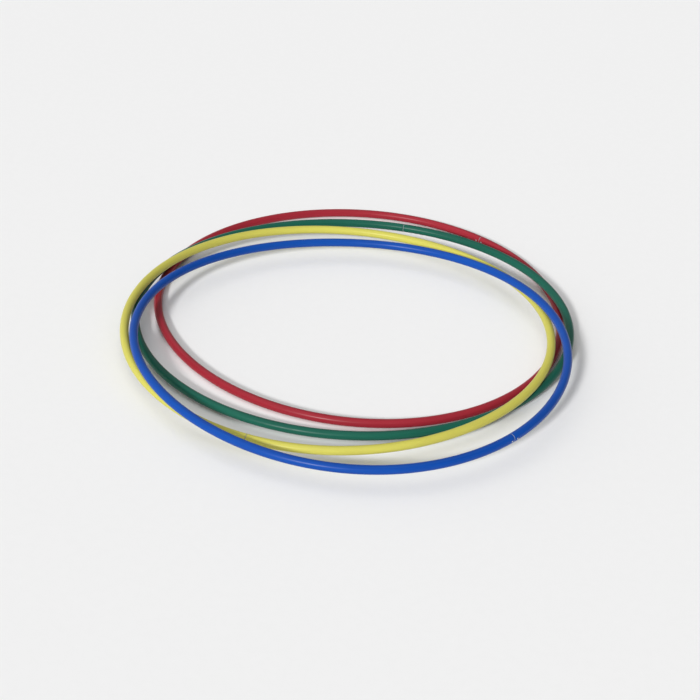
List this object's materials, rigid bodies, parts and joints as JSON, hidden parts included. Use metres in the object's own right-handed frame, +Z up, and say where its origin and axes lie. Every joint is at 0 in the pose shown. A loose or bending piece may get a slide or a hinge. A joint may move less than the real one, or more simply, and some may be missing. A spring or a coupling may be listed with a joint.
{
  "type": "rhythmic gymnastics hoops",
  "caption": "Loose pile of plastic rhythmic gymnastics hoops, each a bent hollow tube closed at a plugged and pinned seam, that lift off one by one.",
  "frame": {"origin": "middle of the pile's bounding box, on the floor it lies on", "axes": "+Z up; +X to the right and +Y away as the pile is seen from the front"},
  "size_m": [0.8426, 0.9935, 0.0615],
  "materials": {
    "red_plastic": "satin",
    "green_plastic": "satin",
    "yellow_plastic": "satin",
    "blue_plastic": "satin",
    "plug_plastic": "matt natural",
    "pin_steel": "bright"
  },
  "bodies": {
    "red_hoop": {"red_tube": "red_plastic", "red_plug": "plug_plastic", "red_pin_1": "pin_steel", "red_pin_2": "pin_steel"},
    "green_hoop": {"green_tube": "green_plastic", "green_plug": "plug_plastic", "green_pin_1": "pin_steel", "green_pin_2": "pin_steel"},
    "yellow_hoop": {"yellow_tube": "yellow_plastic", "yellow_plug": "plug_plastic", "yellow_pin_1": "pin_steel", "yellow_pin_2": "pin_steel"},
    "blue_hoop": {"blue_tube": "blue_plastic", "blue_plug": "plug_plastic", "blue_pin_1": "pin_steel", "blue_pin_2": "pin_steel"}
  },
  "joints": [
    {"name": "green_lift", "type": "slide", "parent": "red_hoop", "child": "green_hoop", "axis": [0, 0, 1], "range_m": [0, 0.3]},
    {"name": "yellow_lift", "type": "slide", "parent": "green_hoop", "child": "yellow_hoop", "axis": [0, 0, 1], "range_m": [0, 0.3]},
    {"name": "blue_lift", "type": "slide", "parent": "yellow_hoop", "child": "blue_hoop", "axis": [0, 0, 1], "range_m": [0, 0.3]}
  ]
}
